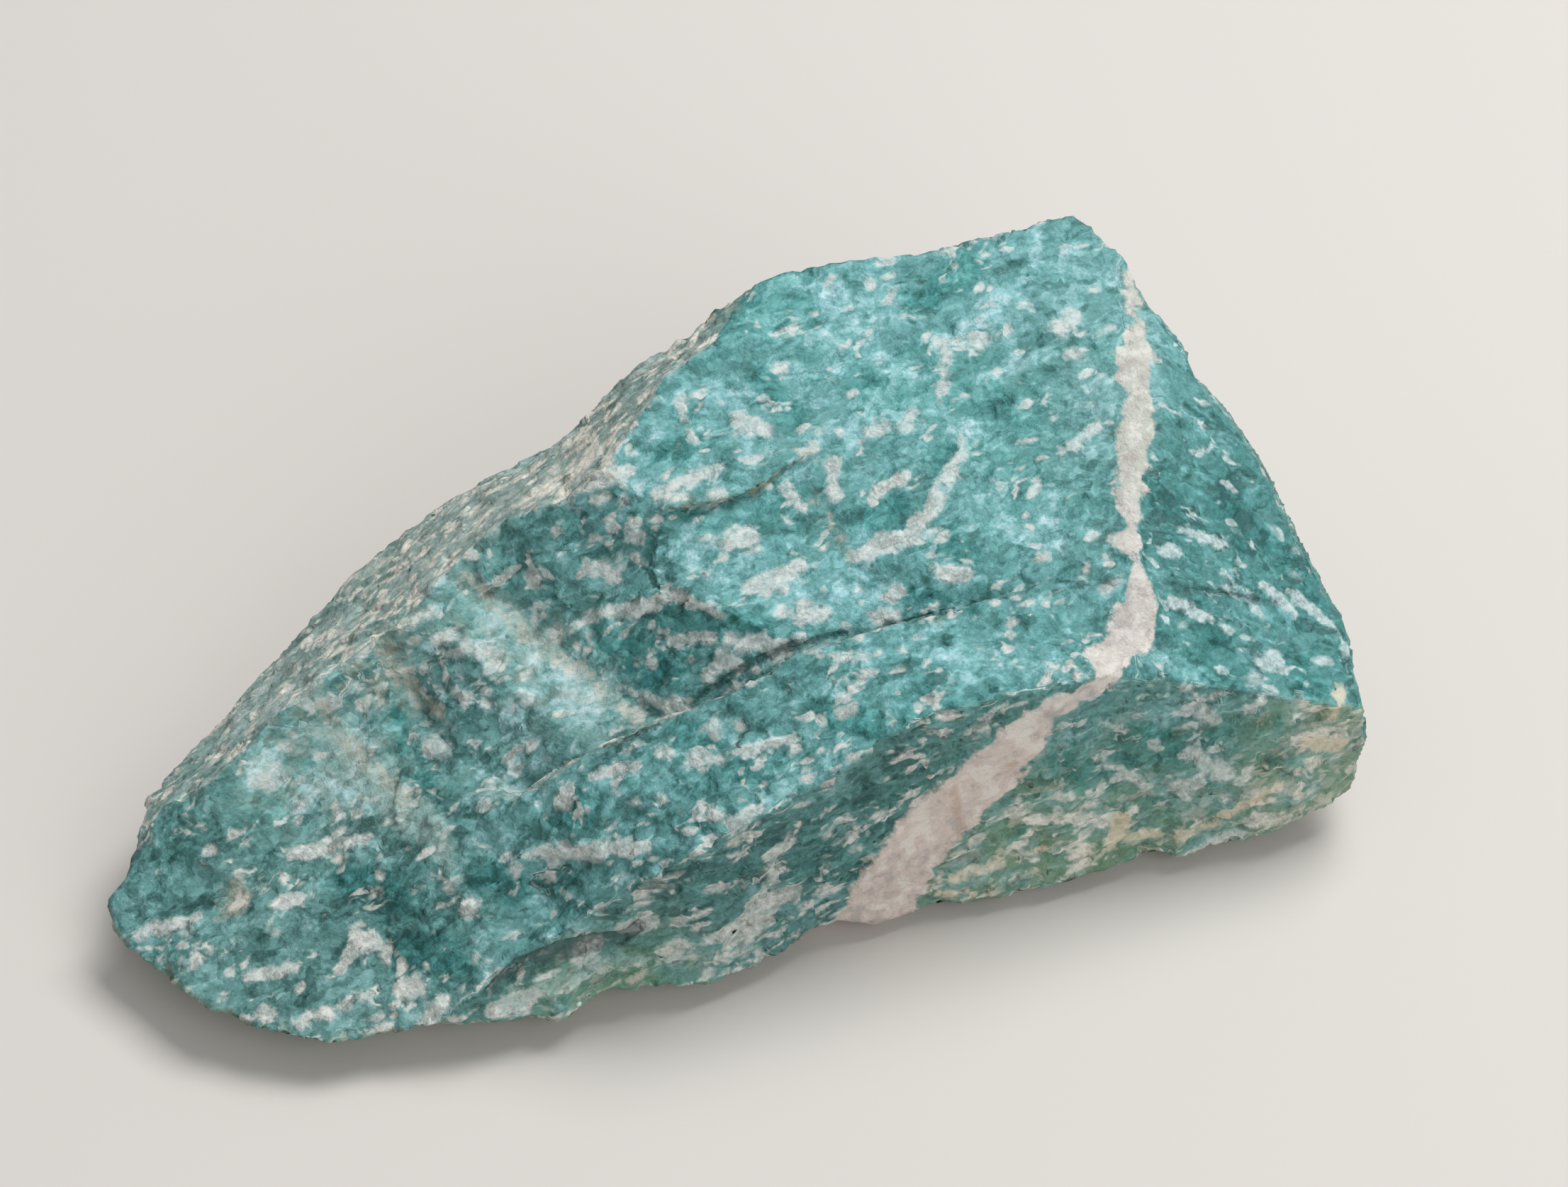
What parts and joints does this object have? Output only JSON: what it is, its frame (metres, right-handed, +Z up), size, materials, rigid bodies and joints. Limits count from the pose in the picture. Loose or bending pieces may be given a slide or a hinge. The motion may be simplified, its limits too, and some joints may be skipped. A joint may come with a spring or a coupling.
{
  "type": "rough amazonite",
  "caption": "Rough broken lump of blue-green amazonite with a sloping cleavage top, a stepped thin end, a steep front and a white vein, resting on a flat spot.",
  "frame": {"origin": "under the middle of the stone's outer box, on the plane of the flat spot that it rests on", "axes": "+Z up from the flat spot; +X along the stone's length, from the thin stepped end to the high blunt end; +Y from the steep front to the back"},
  "size_m": [0.082, 0.0568, 0.0305],
  "materials": {
    "amazonite": "rough broken feldspar, mottled blue-green with cream flecks and a cream-white vein, matte to faintly satin"
  },
  "bodies": {
    "root": {"amazonite": "amazonite"}
  },
  "joints": []
}
